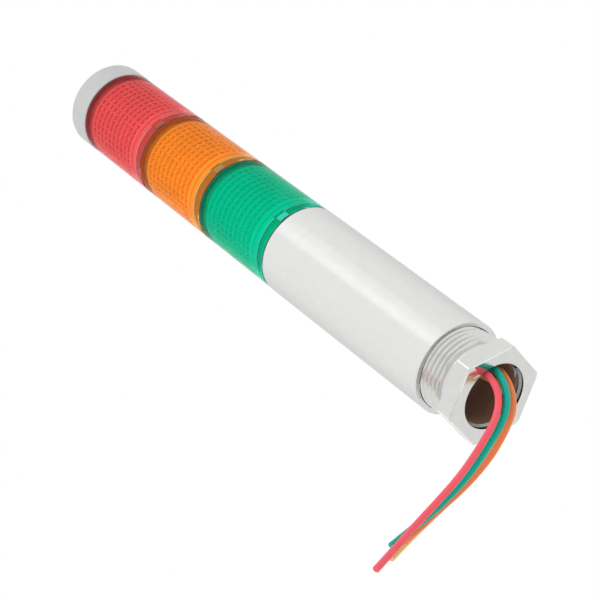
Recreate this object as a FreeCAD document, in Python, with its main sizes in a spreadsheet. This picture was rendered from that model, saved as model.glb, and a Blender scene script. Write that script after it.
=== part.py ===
import FreeCAD, Part
import Sketcher
import math
import os
import re

# A slim three-tier stack light on a threaded hub bushing, standing upright.
# The origin is the centre of the hub's mouth and +Z runs along the light, towards its cap.
# Threads are modelled at their major diameter.

doc = FreeCAD.newDocument("stack_light")
sizes = doc.addObject("Spreadsheet::Sheet", "sizes")

SIZES = (
    ("hex_flats", "27.6"),
    ("hex_height", "6.35"),
    ("hex_corner", "=hex_flats / 2 / cos(30)"),
    ("hub_length", "25.4"),
    ("mouth_radius", "10.4"),
    ("hub_bore", "9.8"),
    ("thread_radius", "13.3"),
    ("relief_radius", "12.1"),
    ("relief_width", "1.4"),
    ("hub_chamfer", "1"),
    ("thread_shown", "10.5"),
    ("tube_radius", "15"),
    ("tube_bore", "13.5"),
    ("tube_foot", "=hex_height + thread_shown"),
    ("tube_top", "95"),
    ("neck_start", "=tube_foot + 2"),
    ("neck_end", "=neck_start + 8"),
    ("edge_break", "0.25"),
    ("tier_pitch", "36.3"),
    ("lens_radius", "14.88"),
    ("lens_bore", "13.35"),
    ("prism_pitch", "2.475"),
    ("prism_start", "6.75"),
    ("prism_depth", "0.45"),
    ("prism_slope", "=0.28 * prism_pitch"),
    ("key_width", "3.4"),
    ("key_depth", "0.9"),
    ("key_sweep", "=key_width / lens_bore * 180 / pi"),
    ("foot_bore", "12.95"),
    ("foot_height", "5.2"),
    ("seal_radius", "14.6"),
    ("seal_height", "0.7"),
    ("spigot_radius", "12.65"),
    ("spigot_height", "4.2"),
    ("collar_bore", "11"),
    ("collar_ledge", "9.5"),
    ("collar_web", "1.5"),
    ("collar_depth", "2.2"),
    ("skirt_wall", "1.4"),
    ("seat_height", "1"),
    ("lug_radius", "13.9"),
    ("lug_start", "1.8"),
    ("lug_height", "2.2"),
    ("lug_sweep", "14"),
    ("slot_radius", "14.15"),
    ("slot_play", "0.2"),
    ("slot_margin", "1"),
    ("twist", "20"),
    ("board", "1.6"),
    ("track_height", "0.1"),
    ("cap_radius", "14.95"),
    ("cap_height", "9.2"),
    ("cap_wall", "1.8"),
    ("cap_round", "1.1"),
    ("led_board_width", "17"),
    ("led_side", "5"),
    ("led_height", "1.6"),
    ("driver_foot", "36"),
    ("driver_width", "18"),
    ("plug_start", "17"),
    ("plug_flange", "1.2"),
    ("carrier_floor", "3"),
    ("carrier_hole", "7.5"),
    ("lead_radius", "1"),
)
for row, (alias, content) in enumerate(SIZES, start=1):
    sizes.set(f"A{row}", alias)
    sizes.set(f"B{row}", content)
    sizes.setAlias(f"B{row}", alias)
doc.recompute()

LUG_COUNT = 3
PRISM_ROWS = 10
KEY_ANGLE = -76.0  # degrees from +X to the first lug, seen from the cap
TIERS = ("green", "amber", "red")

# Control points of each lead in mm, from the plug's face out through the hub's mouth to its cut end.
LEAD_ROUTES = {
    "red": (
        (1.5, -5.5, 17), (1.5, -5.5, 10), (3.25, -8.25, 1.5), (1.25, -9.75, -6.75),
        (-2.5, -10.75, -12), (-7.25, -11.75, -15.5), (-16, -13, -18.5), (-24.25, -14, -20.5),
        (-32, -15.25, -21.5), (-41.75, -18.5, -23.75), (-50, -24, -28), (-57.75, -29.25, -32),
    ),
    "green": (
        (4.5, -3, 17), (4.5, -3, 10), (6, -6.25, 1.5), (3.25, -7.75, -7),
        (-0.75, -8.25, -12.25), (-5.75, -8.75, -15.25), (-14.25, -9.5, -17.75), (-21.75, -10, -19.25),
        (-29, -11, -20), (-37.5, -13.75, -21.25), (-44.25, -18.25, -23.25), (-50.5, -22.75, -25.5),
    ),
    "orange": (
        (5.75, 0, 17), (5.75, 0, 10), (6.75, -3.25, 1.5), (4, -4.5, -6.5),
        (0.25, -4.75, -11.5), (-4, -5, -14), (-12.25, -5.25, -16.75), (-19, -5.75, -17.75),
        (-26.5, -6.75, -18.25), (-34, -9.25, -19), (-41.25, -13.25, -21.25), (-47, -17, -23.25),
    ),
    "yellow": (
        (2.5, 0.5, 17), (2.5, 0.5, 10), (3.75, -1, 1.5), (2.25, -2, -5.25),
        (-0.75, -2.5, -9.75), (-4.5, -2.5, -12.5), (-12.25, -2.75, -14.75), (-19.5, -3.25, -15.5),
        (-27, -4.25, -16), (-36, -7.5, -17.5), (-45, -13.25, -21), (-53, -18.75, -25),
    ),
}

nodes = []


def cell(formula):
    """The formula with each word as a cell of the sheet."""
    return re.sub(r"[a-z]\w*", lambda word: f"sizes.{word.group()}", formula)


def size(alias):
    return float(sizes.get(alias))


def node(thing, label, height="", angle=0.0):
    """Name a finished piece and put it at its height on the light, turned about the light's axis."""
    thing.Label = label
    thing.Placement = FreeCAD.Placement(
        FreeCAD.Vector(0, 0, 0), FreeCAD.Rotation(FreeCAD.Vector(0, 0, 1), angle)
    )
    if height:
        thing.setExpression("Placement.Base.z", cell(height))
    nodes.append(thing)
    return thing


def new_body(name):
    return doc.addObject("PartDesign::Body", name)


def origin_feature(body, role):
    return next(item for item in body.Origin.OriginFeatures if item.Role == role)


def outline(body, name, corners, role="XZ_Plane", turned=0.0):
    """A closed sketch of straight lines whose corners are formulas. turned tips its plane about Z."""
    sketch = body.newObject("Sketcher::SketchObject", name)
    sketch.AttachmentSupport = [(origin_feature(body, role), "")]
    sketch.MapMode = "FlatFace"
    sketch.AttachmentOffset = FreeCAD.Placement(
        FreeCAD.Vector(0, 0, 0), FreeCAD.Rotation(FreeCAD.Vector(0, 1, 0), turned)
    )
    count = len(corners)
    start = [
        FreeCAD.Vector(10 + math.cos(math.tau * i / count), 10 + math.sin(math.tau * i / count), 0)
        for i in range(count)
    ]
    for i in range(count):
        sketch.addGeometry(Part.LineSegment(start[i], start[(i + 1) % count]))
    for i in range(count):
        sketch.addConstraint(Sketcher.Constraint("Coincident", i, 2, (i + 1) % count, 1))
    for i, corner in enumerate(corners):
        for kind, axis, formula in zip(("DistanceX", "DistanceY"), (-2, -1), corner):
            if formula == "0":
                sketch.addConstraint(Sketcher.Constraint("PointOnObject", i, 1, axis))
            else:
                index = sketch.addConstraint(Sketcher.Constraint(kind, -1, 1, i, 1, 1.0))
                sketch.setExpression(f"Constraints[{index}]", cell(formula))
    return sketch


def turned(body, name, corners, centre=0.0, sweep="", cut=False):
    """A profile of (radius, height) corners turned about the light's axis, all round or by sweep."""
    sketch = outline(body, name + "_profile", corners, turned=centre)
    kind = "PartDesign::Groove" if cut else "PartDesign::Revolution"
    feature = body.newObject(kind, name)
    feature.Profile = sketch
    feature.ReferenceAxis = (sketch, ["V_Axis"])
    feature.Angle = 360
    if sweep:
        feature.Midplane = True
        feature.setExpression("Angle", cell(sweep))
    body.Tip = feature
    return feature


def around(body, name, features, count):
    """The features repeated evenly about the light's axis."""
    pattern = body.newObject("PartDesign::PolarPattern", name)
    pattern.Originals = features
    pattern.Axis = (origin_feature(body, "Z_Axis"), [""])
    pattern.Angle = 360
    pattern.Occurrences = count
    body.Tip = pattern
    return pattern


def ring(inner, outer, low, high):
    """The four corners of a plain ring's section."""
    return (inner, low), (outer, low), (outer, high), (inner, high)


def round_edges(body, name, places, radius):
    """Fillet the tip's circular edges at the given (radius, height) places."""
    doc.recompute()
    tip = body.Tip
    names = []
    for number, edge in enumerate(tip.Shape.Edges, start=1):
        if not isinstance(edge.Curve, Part.Circle):
            continue
        for edge_radius, edge_height in places:
            at_radius = abs(edge.Curve.Radius - edge_radius) < 1e-4
            at_height = abs(edge.Curve.Center.z - edge_height) < 1e-4
            if at_radius and at_height:
                names.append(f"Edge{number}")
    fillet = body.newObject("PartDesign::Fillet", name)
    fillet.Base = (tip, names)
    fillet.setExpression("Radius", cell(radius))
    body.Tip = fillet
    return fillet


def bind(thing, **formulas):
    """Bind properties to formulas. An underscore in a property's name stands for its dot."""
    for name, formula in formulas.items():
        thing.setExpression(name.replace("_", "."), cell(formula))
    return thing


def cylinder(name, radius, length, x, y, z):
    thing = doc.addObject("Part::Cylinder", name)
    bind(thing, Radius=radius, Height=length)
    thing.Placement.Base = FreeCAD.Vector(x, y, 0)
    return bind(thing, Placement_Base_z=z)


def box(name, length, width, height, x, y, z):
    """A box centred on x and y, standing on z."""
    thing = doc.addObject("Part::Box", name)
    bind(thing, Length=length, Width=width, Height=height)
    return bind(
        thing,
        Placement_Base_x=f"{x} - ({length}) / 2",
        Placement_Base_y=f"{y} - ({width}) / 2",
        Placement_Base_z=z,
    )


def group(name, members):
    thing = doc.addObject("Part::Compound", name)
    thing.Links = members
    return thing


# The hub: a reducing bushing with a hexagon head, turned from bar, its six flats milled in one pattern.

def hub_bushing():
    body = new_body("hub")
    turned(body, "hub_blank", (
        ("hub_bore", "mouth_radius - hub_bore"),
        ("mouth_radius", "0"),
        ("hex_corner - 0.9", "0"),
        ("hex_corner + 0.4", "0.75"),
        ("hex_corner + 0.4", "hex_height - 1.1"),
        ("hex_flats / 2 - 0.3", "hex_height"),
        ("relief_radius", "hex_height"),
        ("relief_radius", "hex_height + relief_width"),
        ("thread_radius", "hex_height + relief_width + thread_radius - relief_radius"),
        ("thread_radius", "hub_length - hub_chamfer"),
        ("thread_radius - hub_chamfer", "hub_length"),
        ("hub_bore", "hub_length"),
    ))
    mill = outline(body, "flat_outline", (
        ("hex_flats / 2", "-hex_flats"),
        ("hex_flats", "-hex_flats"),
        ("hex_flats", "hex_flats"),
        ("hex_flats / 2", "hex_flats"),
    ), role="XY_Plane")
    flat = body.newObject("PartDesign::Pocket", "flat")
    flat.Profile = mill
    flat.Reversed = True
    flat.setExpression("Length", cell("hex_height"))
    body.Tip = flat
    around(body, "flats", [flat], 6)
    return node(body, "hub_bushing")


def body_tube():
    body = new_body("tube")
    turned(body, "tube_wall", (
        ("tube_bore", "tube_foot"),
        ("tube_radius - edge_break", "tube_foot"),
        ("tube_radius", "tube_foot + edge_break"),
        ("tube_radius", "tube_top - edge_break"),
        ("tube_radius - edge_break", "tube_top"),
        ("tube_bore", "tube_top"),
        ("tube_bore", "neck_end"),
        ("thread_radius", "neck_end"),
        ("thread_radius", "neck_start"),
        ("tube_bore", "neck_start"),
    ))
    return node(body, "body_tube")


# The twist lock: a collar's spigot carries three lugs, and the foot of what stands on it has three
# L-shaped slots. A lug enters by the upright leg and turns along the level leg to its end.

def collar(label, height, skirt_radius):
    """The plastic collar at the top of the tube or of a lens. Its height zero is the joint's face."""
    body = new_body(label)
    turned(body, label + "_ring", (
        (skirt_radius, "-collar_depth"),
        (skirt_radius, "0"),
        ("spigot_radius", "0"),
        ("spigot_radius", "spigot_height - edge_break"),
        ("spigot_radius - edge_break", "spigot_height"),
        ("collar_bore", "spigot_height"),
        ("collar_bore", "seat_height"),
        ("collar_ledge", "seat_height"),
        ("collar_ledge", "seat_height - collar_web"),
        (skirt_radius + " - skirt_wall", "seat_height - 2 * collar_web"),
        (skirt_radius + " - skirt_wall", "-collar_depth"),
    ))
    lug = turned(
        body, label + "_lug",
        ring("spigot_radius - 0.5", "lug_radius", "lug_start", "lug_start + lug_height"),
        sweep="lug_sweep",
    )
    around(body, label + "_lugs", [lug], LUG_COUNT)
    return node(body, label, height, KEY_ANGLE)


def lock_slots(body, label):
    """Cut the three L-shaped slots into a foot whose height zero is the joint's face."""
    level = turned(
        body, label + "_level_leg",
        ring("foot_bore - 0.5", "slot_radius", "lug_start - slot_play",
             "lug_start + lug_height + slot_play"),
        centre=-size("twist") / 2, sweep="lug_sweep + twist + 2 * slot_margin", cut=True,
    )
    upright = turned(
        body, label + "_upright_leg",
        ring("foot_bore - 0.5", "slot_radius", "seal_height - 0.5",
             "lug_start + lug_height + slot_play"),
        centre=-size("twist"), sweep="lug_sweep + 2 * slot_margin", cut=True,
    )
    around(body, label + "_slots", [level, upright], LUG_COUNT)


def seal(label, height):
    """The flat rubber ring round a spigot, under the foot that stands on it."""
    outer = cylinder(label + "_outer", "seal_radius", "seal_height", 0, 0, "0")
    inner = cylinder(label + "_inner", "spigot_radius", "seal_height + 2", 0, 0, "-1")
    cut = doc.addObject("Part::Cut", label)
    cut.Base = outer
    cut.Tool = inner
    return node(cut, label, height)


def ring_board(label, height):
    """The round board in a collar, with three raised contact tracks."""
    body = new_body(label)
    turned(body, label + "_disc", (
        ("0", "seat_height"),
        ("collar_bore - 0.05", "seat_height"),
        ("collar_bore - 0.05", "seat_height + board"),
        ("0", "seat_height + board"),
    ))
    for track, middle in enumerate((3, 6, 9)):
        turned(body, f"{label}_track_{track}", ring(
            f"{middle} - 0.9", f"{middle} + 0.9",
            "seat_height + board - 0.1", "seat_height + board + track_height",
        ))
    return node(body, label, height)


# A tier: a coloured lens on the collar below it, with its boards inside and its own collar on top.

def lens(label, height):
    """A clear wall with rows of prism rings inside and a key that holds the contact disc's notch."""
    body = new_body(label)
    turned(body, label + "_wall", (
        ("foot_bore", "seal_height"),
        ("lens_radius - edge_break", "seal_height"),
        ("lens_radius", "seal_height + edge_break"),
        ("lens_radius", "tier_pitch - edge_break"),
        ("lens_radius - edge_break", "tier_pitch"),
        ("lens_bore", "tier_pitch"),
        ("lens_bore", "foot_height"),
        ("foot_bore", "foot_height"),
    ))
    prism = turned(body, label + "_prism", (
        ("lens_bore + 0.3", "prism_start"),
        ("lens_bore", "prism_start"),
        ("lens_bore - prism_depth", "prism_start + prism_slope"),
        ("lens_bore - prism_depth", "prism_start + prism_pitch - prism_slope"),
        ("lens_bore", "prism_start + prism_pitch"),
        ("lens_bore + 0.3", "prism_start + prism_pitch"),
    ))
    rows = body.newObject("PartDesign::LinearPattern", label + "_prisms")
    rows.Originals = [prism]
    rows.Direction = (origin_feature(body, "Z_Axis"), [""])
    rows.Mode = "Spacing"
    rows.Occurrences = PRISM_ROWS
    rows.setExpression("Offset", cell("prism_pitch"))
    body.Tip = rows
    turned(
        body, label + "_key",
        ring("lens_bore - key_depth", "lens_bore + 0.3", "foot_height - 0.2", "foot_height + board"),
        sweep="key_sweep",
    )
    lock_slots(body, label)
    return node(body, label, height, KEY_ANGLE)


def contact_disc(label, height):
    """The round board that closes a tier's foot, with a notch for the lens's key."""
    disc = cylinder(label + "_blank", "lens_bore - 0.1", "board", 0, 0, "foot_height")
    notch = box(label + "_notch", "4", "key_width + 0.4", "board + 2",
                "lens_bore - key_depth + 1.8", "0", "foot_height - 1")
    cut = doc.addObject("Part::Cut", label)
    cut.Base = disc
    cut.Tool = notch
    return node(cut, label, height, KEY_ANGLE)


def contact_pins(label, height):
    """Four sprung pins under a tier's lower board. They reach the tracks of the board below."""
    pins = []
    for number, (radius, angle) in enumerate(((0, 0), (3, 120), (6, 240), (9, 0))):
        x = radius * math.cos(math.radians(angle))
        y = radius * math.sin(math.radians(angle))
        barrel = cylinder(f"{label}_barrel_{number}", "0.8", "1.7", x, y, "foot_height - 1.7")
        tip = cylinder(
            f"{label}_tip_{number}", "0.45", "foot_height - seat_height - board - track_height - 1.75",
            x, y, "seat_height + board + track_height + 0.05",
        )
        pin = doc.addObject("Part::Fuse", f"{label}_pin_{number}")
        pin.Base = barrel
        pin.Tool = tip
        pins.append(pin)
    return node(group(label, pins), label, height)


def led_board(label, height):
    blade = box(
        label + "_blank", "board", "led_board_width",
        "tier_pitch + seat_height - foot_height - board", "0", "0", "foot_height + board",
    )
    return node(group(label, [blade]), label, height, KEY_ANGLE)


def leds(label, height):
    """Three lamps on each face of a tier's upright board."""
    lamps = []
    for side in (-1, 1):
        for step in range(3):
            lamps.append(box(
                f"{label}_{'left' if side < 0 else 'right'}_{step}",
                "led_height", "led_side", "led_side",
                f"{side} * (board + led_height) / 2", "0",
                f"foot_height + board + 3.5 + {step} * 8.5",
            ))
    return node(group(label, lamps), label, height, KEY_ANGLE)


def tier(colour, height, top):
    """height and top are formulas for the joint faces under and over the tier."""
    lens(colour + "_lens", height)
    contact_disc(colour + "_contact_disc", height)
    contact_pins(colour + "_contact_pins", height)
    led_board(colour + "_led_board", height)
    leds(colour + "_leds", height)
    collar(colour + "_collar", top, "lens_bore")
    ring_board(colour + "_ring_board", top)
    seal(colour + "_seal", top)


def top_cap(height):
    body = new_body("cap")
    turned(body, "cap_shell", (
        ("foot_bore", "seal_height"),
        ("cap_radius - edge_break", "seal_height"),
        ("cap_radius", "seal_height + edge_break"),
        ("cap_radius", "seal_height + cap_height"),
        ("0", "seal_height + cap_height"),
        ("0", "seal_height + cap_height - cap_wall"),
        ("foot_bore - 1", "seal_height + cap_height - cap_wall"),
        ("foot_bore - 1", "foot_height"),
        ("foot_bore", "foot_height"),
    ))
    rim = (size("cap_radius"), size("seal_height") + size("cap_height"))
    round_edges(body, "cap_round_edge", [rim], "cap_round")
    lock_slots(body, "top_cap")
    return node(body, "top_cap", height, KEY_ANGLE)


# Inside the tube: the driver board hangs from the top board and stands in a carrier above the hub.

def driver():
    blade = box("driver_blank", "board", "driver_width", "tube_top + seat_height - driver_foot",
                "0", "0", "driver_foot")
    node(group("driver_board", [blade]), "driver_board")
    face = "board / 2"
    parts = [
        box("terminal_block", "6.2", "15", "7", f"{face} + 3.1", "0", "driver_foot"),
        box("regulator", "2.4", "6", "7", f"{face} + 1.2", "-4", "driver_foot + 14"),
        box("switch_chip", "1.8", "5", "10", f"{face} + 0.9", "4", "driver_foot + 13"),
        box("bridge_rectifier", "2.6", "8", "8", f"-{face} - 1.3", "0", "driver_foot + 8"),
    ]
    for number, high in enumerate((28, 40)):
        can = cylinder(f"capacitor_{number}", "3.2", "8", 0, 0, f"driver_foot + {high}")
        bind(can, Placement_Base_x=f"{face} + 3.2")
        parts.append(can)
    for number in range(3):
        parts.append(box(
            f"resistor_{number}", "1.2", "6", "2.6", f"-{face} - 0.6", "0",
            f"driver_foot + 22 + {number} * 6",
        ))
    node(group("driver_components", parts), "driver_components")


def board_carrier():
    body = new_body("carrier")
    turned(body, "carrier_cup", (
        ("carrier_hole", "driver_foot - carrier_floor"),
        ("tube_bore - 1.2", "driver_foot - carrier_floor"),
        ("tube_bore - 1.2", "neck_end"),
        ("tube_bore", "neck_end"),
        ("tube_bore", "driver_foot"),
        ("carrier_hole", "driver_foot"),
    ))
    return node(body, "board_carrier")


def lead_plug():
    body = new_body("plug")
    turned(body, "plug_form", (
        ("0", "plug_start"),
        ("hub_bore - 0.6", "plug_start"),
        ("hub_bore", "plug_start + 0.6"),
        ("hub_bore", "hub_length"),
        ("hub_bore + 1.6", "hub_length"),
        ("hub_bore + 1.6", "hub_length + plug_flange"),
        ("0", "hub_length + plug_flange"),
    ))
    return node(body, "lead_plug")


def inner_wires():
    """The leads' straight ends, from the moulded plug up to the terminal block's underside."""
    wires = [
        cylinder(f"{colour}_inner_wire", "lead_radius", "driver_foot - hub_length - plug_flange",
                 route[0][0], route[0][1], "hub_length + plug_flange")
        for colour, route in LEAD_ROUTES.items()
    ]
    return node(group("inner_wires", wires), "inner_wires")


# The leads: straight runs joined by the largest tangent arcs that the runs allow.

def lead_path(points):
    """The wire along the points and the arcs' radii."""
    edges = []
    radii = []
    here = points[0]
    for before, corner, after in zip(points, points[1:], points[2:]):
        into = (corner - before).normalize()
        out = (after - corner).normalize()
        turn = into.getAngle(out)
        shorter = min((corner - before).Length, (after - corner).Length)
        setback = 0.45 * shorter
        radius = setback / math.tan(turn / 2)
        start = corner - into * setback
        end = corner + out * setback
        bisector = (out - into).normalize()
        middle = corner + bisector * (radius / math.cos(turn / 2) - radius)
        edges.append(Part.LineSegment(here, start).toShape())
        edges.append(Part.Arc(start, middle, end).toShape())
        radii.append(round(radius, 1))
        here = end
    edges.append(Part.LineSegment(here, points[-1]).toShape())
    return Part.Wire(edges), radii


def lead(colour):
    points = [FreeCAD.Vector(*point) for point in LEAD_ROUTES[colour]]
    path, radii = lead_path(points)
    circle = Part.makeCircle(size("lead_radius"), points[0], points[1] - points[0])
    thing = doc.addObject("Part::Feature", "lead_" + colour)
    thing.Shape = path.makePipe(Part.Face(Part.Wire(circle)))
    expected = math.pi * size("lead_radius") ** 2 * path.Length
    print(f"lead_{colour}: {path.Length:.1f} mm long, arcs {radii}, "
          f"volume {thing.Shape.Volume / expected:.4f} of section times length")
    return node(thing, "lead_" + colour)


hub_bushing()
body_tube()
lead_plug()
inner_wires()
board_carrier()
driver()
collar("tube_collar", "tube_top", "tube_bore")
ring_board("tube_ring_board", "tube_top")
seal("tube_seal", "tube_top")
for number, colour in enumerate(TIERS):
    tier(colour, f"tube_top + {number} * tier_pitch", f"tube_top + {number + 1} * tier_pitch")
top_cap(f"tube_top + {len(TIERS)} * tier_pitch")
for colour in LEAD_ROUTES:
    lead(colour)
doc.recompute()

failed = [thing.Name for thing in doc.Objects if {"Invalid", "Error"} & set(thing.State)]
bad_shapes = [thing.Label for thing in nodes if thing.Shape.isNull() or not thing.Shape.isValid()]
if failed or bad_shapes:
    raise RuntimeError(f"failed objects {failed}, bad shapes {bad_shapes}")

os.makedirs("parts", exist_ok=True)
for thing in nodes:
    thing.Shape.exportStep(f"parts/{thing.Label}.step")
print(f"{len(nodes)} nodes written")
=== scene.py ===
import math

import bmesh
import bpy
from mathutils import Matrix, Vector


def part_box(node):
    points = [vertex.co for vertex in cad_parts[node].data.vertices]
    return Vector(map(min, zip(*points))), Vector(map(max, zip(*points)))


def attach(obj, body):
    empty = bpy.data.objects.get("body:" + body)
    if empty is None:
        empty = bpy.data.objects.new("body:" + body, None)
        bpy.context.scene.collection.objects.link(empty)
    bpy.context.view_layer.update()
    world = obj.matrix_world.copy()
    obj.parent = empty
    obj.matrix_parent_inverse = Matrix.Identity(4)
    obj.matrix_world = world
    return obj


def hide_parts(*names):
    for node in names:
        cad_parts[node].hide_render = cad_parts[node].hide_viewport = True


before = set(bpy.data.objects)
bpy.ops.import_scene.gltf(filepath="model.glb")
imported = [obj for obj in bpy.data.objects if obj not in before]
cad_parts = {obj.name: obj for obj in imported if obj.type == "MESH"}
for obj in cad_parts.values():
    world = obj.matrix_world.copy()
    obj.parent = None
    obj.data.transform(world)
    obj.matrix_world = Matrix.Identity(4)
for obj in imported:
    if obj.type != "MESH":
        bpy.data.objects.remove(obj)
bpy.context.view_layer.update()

mm = 0.001  # the pieces' own values are in millimetres, and the camera's, floor's and lamps' in metres
mergeGap = 1e-7
matchGap = 1e-6
scene = bpy.context.scene
tiers = ("green", "amber", "red")


def lowZ(node):
    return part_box(node)[0][2]


def highZ(node):
    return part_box(node)[1][2]


def reach(node):
    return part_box(node)[1][0]


# camera, which looks up at the hub's end from below

cameraView = {
    "place": (-0.05547, -0.48228, -0.38878),
    "forward": (0.0638, 0.7143, 0.6969),
    "up": (0.7447, -0.4989, 0.4433),
    "lens": 132.88,
    "sensor": 36,
    "near": 0.01,
    "far": 20,
}


def aimed(place, forward, up):
    back = -Vector(forward).normalized()
    right = Vector(up).cross(back).normalized()
    turn = Matrix((right, back.cross(right), back)).transposed().to_4x4()
    return Matrix.Translation(place) @ turn


def addCamera():
    data = bpy.data.cameras.new("camera")
    data.lens = cameraView["lens"]
    data.sensor_width = cameraView["sensor"]
    data.clip_start = cameraView["near"]
    data.clip_end = cameraView["far"]
    camera = bpy.data.objects.new("camera", data)
    camera.matrix_world = aimed(cameraView["place"], cameraView["forward"], cameraView["up"])
    scene.collection.objects.link(camera)
    scene.camera = camera


addCamera()


# node helpers and the effects that several materials share

def newGroup(name, inputs, outputs):
    group = bpy.data.node_groups.new(name, "ShaderNodeTree")
    for label, kind, value in inputs:
        socket = group.interface.new_socket(label, in_out="INPUT", socket_type=kind)
        socket.default_value = value
    for label, kind in outputs:
        group.interface.new_socket(label, in_out="OUTPUT", socket_type=kind)
    return group, group.nodes.new("NodeGroupInput"), group.nodes.new("NodeGroupOutput")


def addNode(tree, kind, **settings):
    node = tree.nodes.new(kind)
    for name, value in settings.items():
        if hasattr(node, name):
            setattr(node, name, value)
        else:
            node.inputs[name].default_value = value
    return node


grainNoise = {"detail": 3, "low": 0.3, "high": 0.7}


def grainGroup():
    # noise in object space, as a value between two limits and as it is
    group, given, result = newGroup(
        "surfaceGrain",
        (("Scale", "NodeSocketFloat", 1000), ("Low", "NodeSocketFloat", 0), ("High", "NodeSocketFloat", 1)),
        (("Value", "NodeSocketFloat"), ("Height", "NodeSocketFloat")),
    )
    place = addNode(group, "ShaderNodeTexCoord")
    noise = addNode(group, "ShaderNodeTexNoise", Detail=grainNoise["detail"])
    spread = addNode(group, "ShaderNodeMapRange")
    spread.inputs["From Min"].default_value = grainNoise["low"]
    spread.inputs["From Max"].default_value = grainNoise["high"]
    link = group.links.new
    link(place.outputs["Object"], noise.inputs["Vector"])
    link(given.outputs["Scale"], noise.inputs["Scale"])
    link(noise.outputs["Fac"], spread.inputs["Value"])
    link(given.outputs["Low"], spread.inputs["To Min"])
    link(given.outputs["High"], spread.inputs["To Max"])
    link(spread.outputs["Result"], result.inputs["Value"])
    link(noise.outputs["Fac"], result.inputs["Height"])
    return group


surfaceGrain = grainGroup()


def newMaterial(name, tint, **settings):
    material = bpy.data.materials.new(name)
    material.use_nodes = True
    tree = material.node_tree
    shader = tree.nodes["Principled BSDF"]
    shader.inputs["Base Color"].default_value = (*tint, 1)
    for label, value in settings.items():
        shader.inputs[label].default_value = value
    return material, tree, shader


def useGrain(tree, **inputs):
    node = addNode(tree, "ShaderNodeGroup", node_tree=surfaceGrain)
    for label, value in inputs.items():
        node.inputs[label].default_value = value
    return node


def blendTints(tree, shader, first, second, factor):
    mix = addNode(tree, "ShaderNodeMix", data_type="RGBA")
    mix.inputs["A"].default_value = (*first, 1)
    mix.inputs["B"].default_value = (*second, 1)
    tree.links.new(factor, mix.inputs["Factor"])
    tree.links.new(mix.outputs["Result"], shader.inputs["Base Color"])


def addBump(tree, shader, height, strength, distance):
    bump = addNode(tree, "ShaderNodeBump")
    bump.inputs["Strength"].default_value = strength
    bump.inputs["Distance"].default_value = distance
    tree.links.new(height, bump.inputs["Height"])
    tree.links.new(bump.outputs["Normal"], shader.inputs["Normal"])


# finishes

bumpDepth = 0.05 * mm
patchSize = 6  # of the colours' patches, against the grain
lensPlastic = {"index": 1.08, "grainScale": 900, "rough": (0.05, 0.12)}


def plainFinish(name, first, second, rough, grainScale, bump, metallic=0.0, rim=1.0, shine=0.5):
    # two near colours, uneven gloss and a fine bump; rim dims a metal's reflection near its outline
    material, tree, shader = newMaterial(name, first, Metallic=metallic)
    shader.inputs["Specular IOR Level"].default_value = shine
    shader.inputs["Specular Tint"].default_value = (rim, rim, rim, 1)
    grain = useGrain(tree, Scale=grainScale, Low=rough[0], High=rough[1])
    patches = useGrain(tree, Scale=grainScale / patchSize)
    blendTints(tree, shader, first, second, patches.outputs["Value"])
    tree.links.new(grain.outputs["Value"], shader.inputs["Roughness"])
    addBump(tree, shader, grain.outputs["Height"], bump, bumpDepth)
    return material


def lensFinish(name, tint, clear):
    # coloured plastic: the clear share shows what is inside, the rest is milky, and lamps shine in
    material, tree, shader = newMaterial(name, tint, Metallic=0, IOR=lensPlastic["index"])
    shader.inputs["Transmission Weight"].default_value = clear
    low, high = lensPlastic["rough"]
    grain = useGrain(tree, Scale=lensPlastic["grainScale"], Low=low, High=high)
    tree.links.new(grain.outputs["Value"], shader.inputs["Roughness"])
    rays = addNode(tree, "ShaderNodeLightPath")
    through = addNode(tree, "ShaderNodeBsdfTransparent")
    through.inputs["Color"].default_value = (*(math.sqrt(share) for share in tint), 1)
    choice = addNode(tree, "ShaderNodeMixShader")
    output = tree.nodes["Material Output"]
    tree.links.new(rays.outputs["Is Shadow Ray"], choice.inputs["Fac"])
    tree.links.new(shader.outputs["BSDF"], choice.inputs[1])
    tree.links.new(through.outputs["BSDF"], choice.inputs[2])
    tree.links.new(choice.outputs["Shader"], output.inputs["Surface"])
    return material


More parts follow.
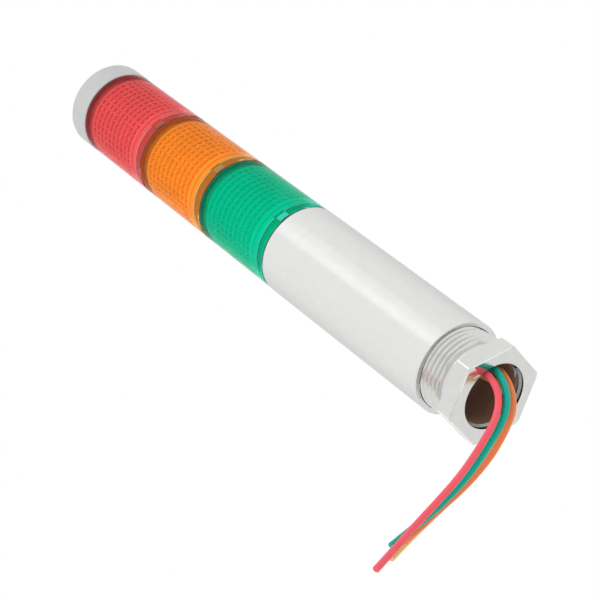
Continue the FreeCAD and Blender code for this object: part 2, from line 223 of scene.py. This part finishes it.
# first and second colour, lowest and highest roughness, grain, bump, and for a metal its share and its rim
plainFinishes = {
    "zincPlate": ((0.71, 0.715, 0.695), (0.68, 0.685, 0.665), (0.16, 0.20), 2400, 0.02, 1.0),
    # the edge zinc is the plate's zinc painted lighter, a painted highlight on the hexagon's bevels
    "zincEdge": ((0.90, 0.90, 0.89), (0.84, 0.84, 0.83), (0.15, 0.25), 900, 0.04, 1.0),
    # the bore zinc is the plate's zinc painted darker, painted shade inside the bore
    "zincBoreShade": ((0.38, 0.385, 0.38), (0.27, 0.275, 0.27), (0.28, 0.42), 900, 0.1, 1.0),
    "satinSilver": ((0.79, 0.79, 0.775), (0.76, 0.76, 0.745), (0.16, 0.24), 2600, 0.06, 0.7, 0.68),
    "capSilver": ((0.61, 0.61, 0.60), (0.58, 0.58, 0.575), (0.40, 0.52), 1800, 0.1, 0.3),
    "collarPlastic": ((0.54, 0.64, 0.55), (0.51, 0.61, 0.52), (0.35, 0.5), 1200, 0.1),
    "greenCollar": ((0.28, 0.32, 0.21), (0.25, 0.29, 0.19), (0.25, 0.35), 1200, 0.1),
    "amberCollar": ((0.40, 0.18, 0.14), (0.36, 0.16, 0.13), (0.25, 0.35), 1200, 0.1),
    "redCollar": ((0.34, 0.23, 0.24), (0.31, 0.21, 0.22), (0.25, 0.35), 1200, 0.1),
    "sealRubber": ((0.045, 0.045, 0.045), (0.065, 0.065, 0.065), (0.6, 0.8), 1500, 0.2),
    "plugRubber": ((0.15, 0.092, 0.064), (0.47, 0.29, 0.20), (0.14, 0.3), 90, 0.3),
    "boardMask": ((0.78, 0.78, 0.74), (0.70, 0.71, 0.68), (0.3, 0.45), 700, 0.1),
    "ledBody": ((0.88, 0.84, 0.60), (0.82, 0.78, 0.52), (0.2, 0.3), 900, 0.1),
    "contactMetal": ((0.80, 0.62, 0.30), (0.72, 0.55, 0.26), (0.2, 0.3), 900, 0.1, 1.0),
    "partBlack": ((0.04, 0.04, 0.045), (0.06, 0.06, 0.06), (0.4, 0.55), 900, 0.1),
    "carrierBlack": ((0.08, 0.06, 0.05), (0.10, 0.08, 0.07), (0.4, 0.5), 900, 0.1),
}
# colour and clear share of each tier's outer wall, prism tops, lines between the prisms, and foot
lensTints = {
    "green": {
        "Lens": ((0.08, 0.88, 0.72), 1.0),
        "Prism": ((0.003, 0.56, 0.36), 0.33),
        "Line": ((0.005, 0.67, 0.44), 0.24),
        "Foot": ((0.006, 0.67, 0.42), 0.6),
    },
    "amber": {
        "Lens": ((1.0, 0.72, 0.30), 1.0),
        "Prism": ((0.98, 0.275, 0.035), 0.35),
        "Line": ((0.98, 0.43, 0.10), 0.2),
        "Foot": ((0.90, 0.40, 0.12), 0.65),
    },
    "red": {
        "Lens": ((0.95, 0.40, 0.40), 1.0),
        "Prism": ((0.77, 0.14, 0.145), 0.34),
        "Line": ((0.93, 0.27, 0.275), 0.22),
        "Foot": ((0.92, 0.25, 0.22), 0.55),
    },
}
jacketGrain = {"rough": (0.28, 0.42), "grainScale": 1100, "bump": 0.12, "shine": 0.2}
jacketTints = {
    "red": ((1.0, 0.13, 0.17), (0.96, 0.115, 0.15)),
    "green": ((0.003, 0.48, 0.36), (0.003, 0.42, 0.31)),
    "orange": ((1.0, 0.25, 0.085), (0.98, 0.25, 0.09)),
    "yellow": ((0.95, 0.58, 0.18), (0.90, 0.53, 0.16)),
}

finishes = {name: plainFinish(name, *facts) for name, facts in plainFinishes.items()}
for colour in tiers:
    for part, (tint, clear) in lensTints[colour].items():
        finishes[colour + part] = lensFinish(colour + part, tint, clear)
for colour, (first, second) in jacketTints.items():
    name = colour + "Jacket"
    finishes[name] = plainFinish(name, first, second, **jacketGrain)
print("finishes made")


# the four leads: soft hook-up wire that keeps the set it was bent to, cut square

leads = {
    "diameter": 2,
    "stiffness": "medium",
    "lay": "loose",
    "roundness": 6,
    "smoothness": 12,
    "order": 3,
    "lengths": {"red": 94.1, "green": 86.6, "orange": 82.3, "yellow": 86.8},
}
# from the plug's face out through the hub to each cut end
leadRoutes = {
    "red": (
        (1.5, -5.5, 17), (1.5, -5.5, 10), (3.25, -8.25, 1.5), (1.25, -9.75, -6.75),
        (-2.5, -10.75, -12), (-7.25, -11.75, -15.5), (-16, -13, -18.5), (-24.25, -14, -20.5),
        (-32, -15.25, -21.5), (-41.75, -18.5, -23.75), (-50, -24, -28), (-57.75, -29.25, -32),
    ),
    "green": (
        (4.5, -3, 17), (4.5, -3, 10), (6, -6.25, 1.5), (3.25, -7.75, -7),
        (-0.75, -8.25, -12.25), (-5.75, -8.75, -15.25), (-14.25, -9.5, -17.75), (-21.75, -10, -19.25),
        (-29, -11, -20), (-37.5, -13.75, -21.25), (-44.25, -18.25, -23.25), (-50.5, -22.75, -25.5),
    ),
    "orange": (
        (5.75, 0, 17), (5.75, 0, 10), (6.75, -3.25, 1.5), (4, -4.5, -6.5),
        (0.25, -4.75, -11.5), (-4, -5, -14), (-12.25, -5.25, -16.75), (-19, -5.75, -17.75),
        (-26.5, -6.75, -18.25), (-34, -9.25, -19), (-41.25, -13.25, -21.25), (-47, -17, -23.25),
    ),
    "yellow": (
        (2.5, 0.5, 17), (2.5, 0.5, 10), (3.75, -1, 1.5), (2.25, -2, -5.25),
        (-0.75, -2.5, -9.75), (-4.5, -2.5, -12.5), (-12.25, -2.75, -14.75), (-19.5, -3.25, -15.5),
        (-27, -4.25, -16), (-36, -7.5, -17.5), (-45, -13.25, -21), (-53, -18.75, -25),
    ),
}


def addLead(colour):
    diameter = leads["diameter"] * mm
    route = [Vector(point) * mm for point in leadRoutes[colour]]
    curve = bpy.data.curves.new(colour + "Lead", "CURVE")
    curve.dimensions = "3D"
    curve.bevel_depth = diameter / 2
    curve.bevel_resolution = leads["roundness"]
    curve.resolution_u = leads["smoothness"]
    curve.use_fill_caps = True
    spline = curve.splines.new("NURBS")
    spline.points.add(len(route) - 1)
    for point, place in zip(spline.points, route):
        point.co = (*place, 1)
    spline.order_u = leads["order"]
    spline.use_endpoint_u = True
    lead = bpy.data.objects.new(colour + "Lead", curve)
    scene.collection.objects.link(lead)
    curve.materials.append(finishes[colour + "Jacket"])
    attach(lead, "base")
    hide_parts("lead_" + colour)


for colour in leadRoutes:
    addLead(colour)
print("leads laid")


# mesh helpers

def turnProfile(bm, profile, steps):
    # spin a closed outline of (radius, height) about the light's axis
    verts = [bm.verts.new((radius * mm, 0, height * mm)) for radius, height in profile]
    edges = [bm.edges.new(pair) for pair in zip(verts, verts[1:] + verts[:1])]
    bmesh.ops.spin(
        bm, geom=verts + edges, cent=(0, 0, 0), axis=(0, 0, 1), dvec=(0, 0, 0),
        angle=math.tau, steps=steps, use_merge=True,
    )
    bmesh.ops.remove_doubles(bm, verts=bm.verts, dist=mergeGap)
    bmesh.ops.recalc_face_normals(bm, faces=bm.faces)


def cutFlat(bm, place, normal):
    # saw off what lies past a plane, close the cut and give the new faces
    cut = bmesh.ops.bisect_plane(
        bm, geom=bm.verts[:] + bm.edges[:] + bm.faces[:],
        plane_co=place, plane_no=normal, clear_outer=True,
    )
    rim = [item for item in cut["geom_cut"] if isinstance(item, bmesh.types.BMEdge)]
    return bmesh.ops.edgeloop_fill(bm, edges=rim)["faces"]


def outward(degrees):
    angle = math.radians(degrees)
    return Vector((math.cos(angle), math.sin(angle), 0))


def finishPiece(name, bm, materials, body, sharpAngle):
    mesh = bpy.data.meshes.new(name)
    bm.to_mesh(mesh)
    bm.free()
    for material in materials:
        mesh.materials.append(material)
    mesh.shade_smooth()
    mesh.set_sharp_from_angle(angle=math.radians(sharpAngle))
    piece = bpy.data.objects.new(name, mesh)
    scene.collection.objects.link(piece)
    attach(piece, body)
    return piece


# hub: hexagon bushing with its pipe threads

hub = {
    "steps": 192,
    "coilSteps": 96,
    "sharpAngle": 30,
    "sides": 6,
    "flats": 27.6,
    "hexHeight": 6.35,
    "edge": 0.18,
    "spare": 0.4,  # how far the turned blank stands past the hexagon's corners
    "faceChamfer": (0.9, 0.75),
    "backChamfer": (0.3, 1.1),
    "bore": 10.45,
    "mouth": 10.5,
    "boreZone": 10.47,
    "boreCrest": 9.8,
    "boreStart": 1.3,
    "boreTurns": 8.5,
    "reliefRadius": 12.1,
    "reliefWidth": 1.4,
    "reliefStep": 0.2,
    "rootRadius": 12.25,
    "threadRadius": 13.3,
    "threadStart": 0.7,
    "threadTurns": 8.8,
    "endChamfer": (0.5, 1),
    "length": 25.4,
    "pitch": 25.4 / 14,
    "ridgeSink": 0.1,
    "ridgeFoot": 0.49,  # half widths of the ridge, as shares of the pitch
    "ridgeFlat": 0.07,
}
# the plate's zinc, the bevels painted lighter as a highlight, and the bore painted darker as shade
hubParts = ("Plate", "Edge", "BoreShade")


def coilRidge(bm, root, crest, start, turns):
    # one closed ridge of flat-topped V section, wound up the axis
    pitch = hub["pitch"]
    base = root - math.copysign(hub["ridgeSink"], crest - root)
    section = ((base, -pitch * hub["ridgeFoot"]), (crest, -pitch * hub["ridgeFlat"]),
               (crest, pitch * hub["ridgeFlat"]), (base, pitch * hub["ridgeFoot"]))
    coil = bmesh.new()
    verts = [coil.verts.new((radius * mm, 0, (start + rise) * mm)) for radius, rise in section]
    edges = [coil.edges.new(pair) for pair in zip(verts, verts[1:] + verts[:1])]
    steps = int(turns * hub["coilSteps"])
    bmesh.ops.spin(
        coil, geom=verts + edges, cent=(0, 0, 0), axis=(0, 0, 1),
        dvec=(0, 0, pitch * mm / hub["coilSteps"]), angle=math.tau * steps / hub["coilSteps"], steps=steps,
    )
    bmesh.ops.holes_fill(coil, edges=coil.edges, sides=4)
    bmesh.ops.recalc_face_normals(coil, faces=coil.faces)
    mesh = bpy.data.meshes.new("coil")
    coil.to_mesh(mesh)
    coil.free()
    bm.from_mesh(mesh)
    bpy.data.meshes.remove(mesh)


def turnBlank(bm, corner):
    # the hub as it comes off the lathe, still round where the hexagon will be
    blank = corner + hub["spare"]
    relief = hub["hexHeight"] + hub["reliefWidth"]
    faceIn, faceUp = hub["faceChamfer"]
    backIn, backDown = hub["backChamfer"]
    endIn, endDown = hub["endChamfer"]
    turnProfile(bm, (
        (hub["bore"], hub["mouth"] - hub["bore"]),
        (hub["mouth"], 0),
        (corner - faceIn, 0),
        (blank, faceUp),
        (blank, hub["hexHeight"] - backDown),
        (hub["flats"] / 2 - backIn, hub["hexHeight"]),
        (hub["reliefRadius"], hub["hexHeight"]),
        (hub["reliefRadius"], relief),
        (hub["rootRadius"], relief + hub["reliefStep"]),
        (hub["rootRadius"], hub["length"] - endDown),
        (hub["rootRadius"] - endIn, hub["length"]),
        (hub["bore"], hub["length"]),
    ), hub["steps"])


def addHub():
    bm = bmesh.new()
    edge = hub["edge"]
    flat = hub["flats"] / 2
    turn = 360 / hub["sides"]
    corner = flat / math.cos(math.radians(turn / 2))
    turnBlank(bm, corner)
    for number in range(hub["sides"]):
        side = outward(turn * number)
        cutFlat(bm, side * flat * mm, side)
    bmesh.ops.recalc_face_normals(bm, faces=bm.faces)
    # bevel the hexagon's edges and corners; the bevels take the lighter zinc, a painted highlight
    for number in range(hub["sides"]):
        side = outward(turn * number)
        point = outward(turn * (number + 0.5))
        slope = (side * edge - Vector((0, 0, edge))).normalized()
        for place, normal in ((side * flat * mm, slope), (point * corner * mm, point.normalized())):
            for face in cutFlat(bm, place - normal * edge * mm, normal):
                face.material_index = hubParts.index("Edge")
    bmesh.ops.recalc_face_normals(bm, faces=bm.faces)
    coilRidge(bm, hub["rootRadius"], hub["threadRadius"],
              hub["hexHeight"] + hub["reliefWidth"] + hub["threadStart"], hub["threadTurns"])
    coilRidge(bm, hub["bore"], hub["boreCrest"], hub["boreStart"], hub["boreTurns"])
    # faces inside the bore take the darker zinc, painted shade
    for face in bm.faces:
        middle = face.calc_center_median()
        if middle.xy.length < hub["boreZone"] * mm and middle.z < hub["length"] * mm:
            face.material_index = hubParts.index("BoreShade")
    materials = [finishes["zinc" + part] for part in hubParts]
    piece = finishPiece("hubBushing", bm, materials, "base", hub["sharpAngle"])
    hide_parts("hub_bushing")


addHub()
print("hub cut")


# plug: dark resin poured round the leads, which wets the bore's thread nearly to the mouth

plug = {
    "steps": 96,
    "sharpAngle": 40,
    "face": 17,
    "dish": ((0, 0), (4.5, 0.1), (8.2, 0.5), (9.3, 1.4)),  # radius and depth under the face's middle
    "skinStart": 14,
    "skinBend": 7,
    "skinEnd": 3,
    "bore": 9.72,
    "outer": 10.4,
    "tip": ((0.25, 0.8), (0, 1)),
    "waveZone": 4,
    "waves": ((2, 0.6, 0.45), (7, 0, 0.18)),  # count round the bore, phase and height
    "flange": 11.4,
    "low": 25.4,
    "high": 26.6,
}


def addPlug():
    bm = bmesh.new()
    outline = [(radius, plug["face"] - depth) for radius, depth in plug["dish"]]
    outline += [(plug["bore"], plug[height]) for height in ("skinStart", "skinBend", "skinEnd")]
    outline += [(plug["outer"] - inward, plug["skinEnd"] - drop) for inward, drop in plug["tip"]]
    outline += [
        (plug["outer"], plug["low"]),
        (plug["flange"], plug["low"]),
        (plug["flange"], plug["high"]),
        (0, plug["high"]),
    ]
    turnProfile(bm, outline, plug["steps"])
    for vert in bm.verts:
        if vert.co.z < plug["waveZone"] * mm:
            turn = math.atan2(vert.co.y, vert.co.x)
            for count, phase, height in plug["waves"]:
                vert.co.z += height * math.sin(count * turn + phase) * mm
    bmesh.ops.recalc_face_normals(bm, faces=bm.faces)
    piece = finishPiece("leadPlug", bm, [finishes["plugRubber"]], "base", plug["sharpAngle"])
    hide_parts("lead_plug")


addPlug()
print("plug poured")


# lenses: smooth outside, a grid of small prisms inside

lens = {
    "sharpAngle": 25,
    "columns": 39,
    "perColumn": 6,
    "rows": 10,
    "rowPitch": 2.475,
    "gridStart": 9.15,
    "topShares": (0.28, 0.72),  # where a prism's flat top starts and ends in its row
    "lineTrim": 0.3,
    "prismDepth": 0.45,
    "groove": (7.2, 7.75),
    "gap": 0.04,  # between a lens's ends and the seals
    "sealHeight": 0.7,
    "skirt": 34.05,
    "bore": 13.35,
    "footBore": 12.95,
    "footLine": 1.4,
    "footTop": 5.5,
    "edge": 0.25,
    "wallZone": 0.1,
    "heightZone": 0.01,
}
lensParts = ("Lens", "Prism", "Line", "Foot")


def raisePrisms(bm, tops):
    # bring the inner wall forward in cells, and give the vertices of their flat tops
    steps = lens["columns"] * lens["perColumn"]
    sideTrim = {1: -lens["lineTrim"], lens["perColumn"] - 1: lens["lineTrim"]}
    raised = set()
    for vert in bm.verts:
        onWall = abs(vert.co.xy.length - lens["bore"] * mm) < matchGap
        isTop = any(abs(vert.co.z - height * mm) < matchGap for height in tops)
        place = round(math.atan2(vert.co.y, vert.co.x) / math.tau * steps) % lens["perColumn"]
        if onWall and isTop and place:
            turn = sideTrim.get(place, 0) / steps * math.tau
            vert.co = Matrix.Rotation(turn, 3, "Z") @ vert.co
            vert.co.xy *= 1 - lens["prismDepth"] / lens["bore"]
            raised.add(vert)
    return raised


def lensPart(face, raised, base, top):
    middle = face.calc_center_median()
    height = middle.z / mm - base
    isInner = middle.xy.length < (lens["bore"] + lens["wallZone"]) * mm
    isGroove = isInner and lens["groove"][0] < height < lens["groove"][1]
    isTopEnd = height > top - base - lens["heightZone"]
    if all(vert in raised for vert in face.verts) or isTopEnd or isGroove:
        return "Prism"
    if isInner and lens["footTop"] - lens["heightZone"] < height < lens["skirt"]:
        return "Line"
    if isInner and height < lens["footTop"]:
        return "Foot"
    return "Lens"


def addLens(colour):
    node = colour + "_lens"
    base = lowZ(node) / mm - lens["sealHeight"]
    low = lowZ(node) / mm + lens["gap"]
    top = highZ(node) / mm - lens["gap"]
    radius = reach(node) / mm
    starts = [base + lens["gridStart"] + row * lens["rowPitch"] for row in range(lens["rows"] + 1)]
    tops = [start + share * lens["rowPitch"] for start in starts[:-1] for share in lens["topShares"]]
    rings = starts + tops + [base + height for height in (*lens["groove"], lens["footTop"])]
    outline = [
        (lens["footBore"], low),
        (radius - lens["edge"], low),
        (radius, low + lens["edge"]),
        (radius, top - lens["edge"]),
        (radius - lens["edge"], top),
        (lens["bore"], top),
        (lens["bore"], base + lens["skirt"]),
    ]
    outline += [(lens["bore"], height) for height in sorted(rings, reverse=True)]
    outline += [(lens["footBore"], base + height) for height in (lens["footTop"], lens["footLine"])]
    bm = bmesh.new()
    turnProfile(bm, outline, lens["columns"] * lens["perColumn"])
    raised = raisePrisms(bm, tops)
    for face in bm.faces:
        face.material_index = lensParts.index(lensPart(face, raised, base, top))
    materials = [finishes[colour + part] for part in lensParts]
    piece = finishPiece(colour + "Lens", bm, materials, colour + "_tier", lens["sharpAngle"])
    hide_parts(node)


for colour in tiers:
    addLens(colour)
print("lenses moulded")


# finishes for the pieces that keep their shape

nodeFinishes = {
    "body_tube": "satinSilver",
    "inner_wires": "partBlack",
    "board_carrier": "carrierBlack",
    "driver_board": "boardMask",
    "driver_components": "partBlack",
    "tube_collar": "collarPlastic",
    "tube_ring_board": "boardMask",
    "tube_seal": "sealRubber",
    "top_cap": "capSilver",
}
tierFinishes = {
    "contact_disc": "boardMask",
    "contact_pins": "contactMetal",
    "led_board": "boardMask",
    "leds": "ledBody",
    "ring_board": "boardMask",
    "seal": "sealRubber",
}


def finishNodes():
    chosen = dict(nodeFinishes)
    for colour in tiers:
        for part, finish in tierFinishes.items():
            chosen[f"{colour}_{part}"] = finish
        chosen[colour + "_collar"] = colour + "Collar"
    for node, finish in chosen.items():
        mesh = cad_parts[node].data
        for index in range(len(mesh.materials)):
            mesh.materials[index] = finishes[finish]


finishNodes()
print("finishes given")


# floor, world and lamps

stageLight = {
    "floorHeight": -0.45,
    "floorSize": 30,
    "floorGlow": 0.98,
    "floorPaper": ((0.96, 0.96, 0.96), (0.95, 0.95, 0.95), (0.8, 0.9), 30, 0.02),
    "world": 0.78,
    "keyPower": 0.10,
    "keySize": 0.5,
    "keyPlace": (0.213, -0.656, 0.64),
    "stripPower": 0.03,
    "stripSize": 0.25,
    "stripPlace": (0.096, -0.683, 0.64),
    "fillPower": 3.7,
    "fillSize": 1.0,
    "fillPlace": (-0.48, -1.02, 0.5),
    "aim": (0, 0, 0.1),
    "up": (0, 0.1, 1),
}


def floorFinish():
    # pale paper that mirrors and clear plastic see as plain white
    material = plainFinish("floorPaper", *stageLight["floorPaper"])
    tree = material.node_tree
    rays = addNode(tree, "ShaderNodeLightPath")
    either = addNode(tree, "ShaderNodeMath", operation="MAXIMUM")
    glow = addNode(tree, "ShaderNodeEmission", Strength=stageLight["floorGlow"])
    choice = addNode(tree, "ShaderNodeMixShader")
    tree.links.new(rays.outputs["Is Glossy Ray"], either.inputs[0])
    tree.links.new(rays.outputs["Is Transmission Ray"], either.inputs[1])
    tree.links.new(either.outputs["Value"], choice.inputs["Fac"])
    tree.links.new(tree.nodes["Principled BSDF"].outputs["BSDF"], choice.inputs[1])
    tree.links.new(glow.outputs["Emission"], choice.inputs[2])
    tree.links.new(choice.outputs["Shader"], tree.nodes["Material Output"].inputs["Surface"])
    return material


def addFloor():
    bm = bmesh.new()
    bmesh.ops.create_grid(bm, x_segments=1, y_segments=1, size=stageLight["floorSize"] / 2)
    bmesh.ops.translate(bm, verts=bm.verts, vec=(0, 0, stageLight["floorHeight"]))
    mesh = bpy.data.meshes.new("floor")
    bm.to_mesh(mesh)
    bm.free()
    mesh.materials.append(floorFinish())
    floor = bpy.data.objects.new("floor", mesh)
    scene.collection.objects.link(floor)


def addWorld():
    world = bpy.data.worlds.new("studio")
    scene.world = world
    world.use_nodes = True
    tree = world.node_tree
    lightShader = tree.nodes["Background"]
    lightShader.inputs["Color"].default_value = (1, 1, 1, 1)
    lightShader.inputs["Strength"].default_value = stageLight["world"]
    white = addNode(tree, "ShaderNodeBackground")
    white.inputs["Color"].default_value = (1, 1, 1, 1)
    white.inputs["Strength"].default_value = 1
    rays = addNode(tree, "ShaderNodeLightPath")
    seen = addNode(tree, "ShaderNodeMath", operation="MAXIMUM")
    also = addNode(tree, "ShaderNodeMath", operation="MAXIMUM")
    choice = addNode(tree, "ShaderNodeMixShader")
    tree.links.new(rays.outputs["Is Camera Ray"], seen.inputs[0])
    tree.links.new(rays.outputs["Is Glossy Ray"], seen.inputs[1])
    tree.links.new(seen.outputs["Value"], also.inputs[0])
    tree.links.new(rays.outputs["Is Transmission Ray"], also.inputs[1])
    tree.links.new(also.outputs["Value"], choice.inputs["Fac"])
    tree.links.new(lightShader.outputs["Background"], choice.inputs[1])
    tree.links.new(white.outputs["Background"], choice.inputs[2])
    tree.links.new(choice.outputs["Shader"], tree.nodes["World Output"].inputs["Surface"])


def addSoftbox(name, glossy):
    data = bpy.data.lights.new(name, "AREA")
    data.shape = "SQUARE"
    data.size = stageLight[name + "Size"]
    data.energy = stageLight[name + "Power"]
    lamp = bpy.data.objects.new(name, data)
    lamp.visible_glossy = glossy
    place = stageLight[name + "Place"]
    forward = Vector(stageLight["aim"]) - Vector(place)
    lamp.matrix_world = aimed(place, forward, stageLight["up"])
    scene.collection.objects.link(lamp)


addFloor()
addWorld()
addSoftbox("key", glossy=True)
addSoftbox("strip", glossy=True)
addSoftbox("fill", glossy=False)
scene.view_settings.view_transform = "Standard"
print("stage lit")
